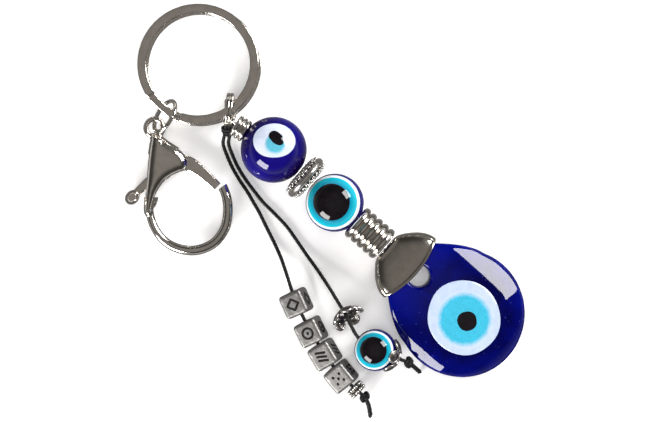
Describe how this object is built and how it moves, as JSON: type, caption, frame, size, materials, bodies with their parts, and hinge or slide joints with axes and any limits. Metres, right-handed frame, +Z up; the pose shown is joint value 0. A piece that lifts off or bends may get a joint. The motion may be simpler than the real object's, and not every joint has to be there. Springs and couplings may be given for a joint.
{
  "type": "evil eye keychain ornament",
  "caption": "Keychain ornament: split ring with a lobster clasp, a strand of eye beads, a capped glass eye pendant and two beaded cords.",
  "frame": {"origin": "centre of the lying keychain's outline without its cords, on the surface that it rests on", "axes": "+Z up from the surface, +Y towards the split ring, +X towards the pendant's side, along the longest side of the outline"},
  "size_m": [0.1036, 0.1071, 0.017],
  "materials": {
    "polished_nickel": "polished nickel plate with fine handling scratches",
    "dark_gunmetal": "polished black-nickel plate",
    "antique_silver": "matte antique silver plate, blackened in its recesses",
    "cobalt_glass": "deep cobalt glass, glossy, with tiny bubbles",
    "cobalt_resin": "deep blue polyester resin, glossy",
    "white_enamel": "opaque white, glossy",
    "sky_glass": "opaque light blue glass, glossy, faintly mottled",
    "cyan_resin": "opaque cyan resin, glossy",
    "pupil_black": "opaque black, glossy",
    "waxed_cord": "waxed black cotton cord"
  },
  "bodies": {
    "ring": {"split_ring": "polished_nickel"},
    "clasp_link": {"clasp_link": "polished_nickel"},
    "clasp": {"clasp_body": "polished_nickel", "clasp_rivet": "dark_gunmetal", "clasp_spring": "dark_gunmetal"},
    "lever": {"clasp_lever": "polished_nickel"},
    "connector": {"connector_ring": "polished_nickel", "cord_hitch": "waxed_cord"},
    "strand": {"strand_wire": "polished_nickel"},
    "ribbed_bead": {"top_bead": "polished_nickel"},
    "glass_bead": {"glass_bead": "cobalt_glass", "glass_bead_white": "white_enamel", "glass_bead_blue": "sky_glass", "glass_bead_pupil": "pupil_black"},
    "rondelle": {"rondelle": "antique_silver"},
    "resin_bead": {"resin_bead": "cobalt_resin", "resin_bead_white": "white_enamel", "resin_bead_blue": "cyan_resin", "resin_bead_pupil": "pupil_black"},
    "coil_bead": {"coil_bead": "polished_nickel"},
    "pendant": {"pendant_cap": "dark_gunmetal", "cap_pin": "dark_gunmetal", "pendant_glass": "cobalt_glass", "pendant_white": "white_enamel", "pendant_blue": "sky_glass", "pendant_pupil": "pupil_black"},
    "cords": {"cord_left": "waxed_cord", "cord_right": "waxed_cord", "cube_bead_2": "antique_silver", "cube_bead_3": "antique_silver", "cube_bead_4": "antique_silver", "beaded_spacer": "antique_silver", "knot_left": "waxed_cord", "knot_right": "waxed_cord", "flower_cap_lower": "antique_silver"},
    "top_cube": {"cube_bead_1": "antique_silver"},
    "upper_flower": {"flower_cap_upper": "antique_silver"},
    "drop_bead": {"drop_bead": "cobalt_resin", "drop_bead_white": "white_enamel", "drop_bead_blue": "cyan_resin", "drop_bead_pupil": "pupil_black"}
  },
  "joints": [
    {"name": "link_orbit", "type": "hinge", "parent": "ring", "child": "clasp_link", "pos_m": [-0.03251, 0.03241, 0.00153], "axis": [0, 0.0959, 0.9954], "range_deg": [-30, 3]},
    {"name": "clasp_swing", "type": "hinge", "parent": "clasp_link", "child": "clasp", "pos_m": [-0.04411, 0.01631, 0.0026], "axis": [0, 0, 1], "range_deg": [-20, 3]},
    {"name": "lever_open", "type": "hinge", "parent": "clasp", "child": "lever", "pos_m": [-0.04191, 0.00501, 0.0026], "axis": [0, 0, -1], "range_deg": [0, 22], "stiffness_Nm_per_rad": 0.02, "springref_deg": -34.38},
    {"name": "connector_orbit", "type": "hinge", "parent": "ring", "child": "connector", "pos_m": [-0.03251, 0.03241, 0.00153], "axis": [0, 0.0959, 0.9954], "range_deg": [-3, 3]},
    {"name": "strand_swing", "type": "hinge", "parent": "connector", "child": "strand", "pos_m": [-0.02489, 0.01823, 0.00823], "axis": [0, 0, 1], "range_deg": [0, 5]},
    {"name": "ribbed_bead_spin", "type": "hinge", "parent": "strand", "child": "ribbed_bead", "pos_m": [-0.02163, 0.01597, 0.0085], "axis": [0.8387, -0.5446, 0], "continuous": true},
    {"name": "glass_bead_spin", "type": "hinge", "parent": "strand", "child": "glass_bead", "pos_m": [-0.0132, 0.0105, 0.0085], "axis": [0.799, -0.6009, -0.0238], "continuous": true},
    {"name": "rondelle_spin", "type": "hinge", "parent": "strand", "child": "rondelle", "pos_m": [-0.00497, 0.00337, 0.00798], "axis": [0.755, -0.654, -0.0476], "continuous": true},
    {"name": "resin_bead_spin", "type": "hinge", "parent": "strand", "child": "resin_bead", "pos_m": [0.0025, -0.0031, 0.00751], "axis": [0.755, -0.654, -0.0476], "continuous": true},
    {"name": "coil_bead_spin", "type": "hinge", "parent": "strand", "child": "coil_bead", "pos_m": [0.01154, -0.01093, 0.00694], "axis": [0.755, -0.654, -0.0476], "continuous": true},
    {"name": "pendant_rock", "type": "hinge", "parent": "strand", "child": "pendant", "pos_m": [0.01769, -0.01626, 0.00655], "axis": [0, 0, 1], "range_deg": [0, 3]},
    {"name": "cord_swing", "type": "hinge", "parent": "connector", "child": "cords", "pos_m": [-0.0253, 0.0149, 0.0025], "axis": [0, 0, 1], "range_deg": [-6, 0]},
    {"name": "top_cube_slide", "type": "slide", "parent": "cords", "child": "top_cube", "axis": [-0.4067, 0.9135, 0], "range_m": [0, 0.0015]},
    {"name": "flower_slide", "type": "slide", "parent": "cords", "child": "upper_flower", "axis": [-0.5446, 0.8387, 0], "range_m": [0, 0.0018]},
    {"name": "drop_bead_spin", "type": "hinge", "parent": "cords", "child": "drop_bead", "pos_m": [0.013, -0.0411, 0.00545], "axis": [0.848, -0.5299, 0], "continuous": true}
  ]
}
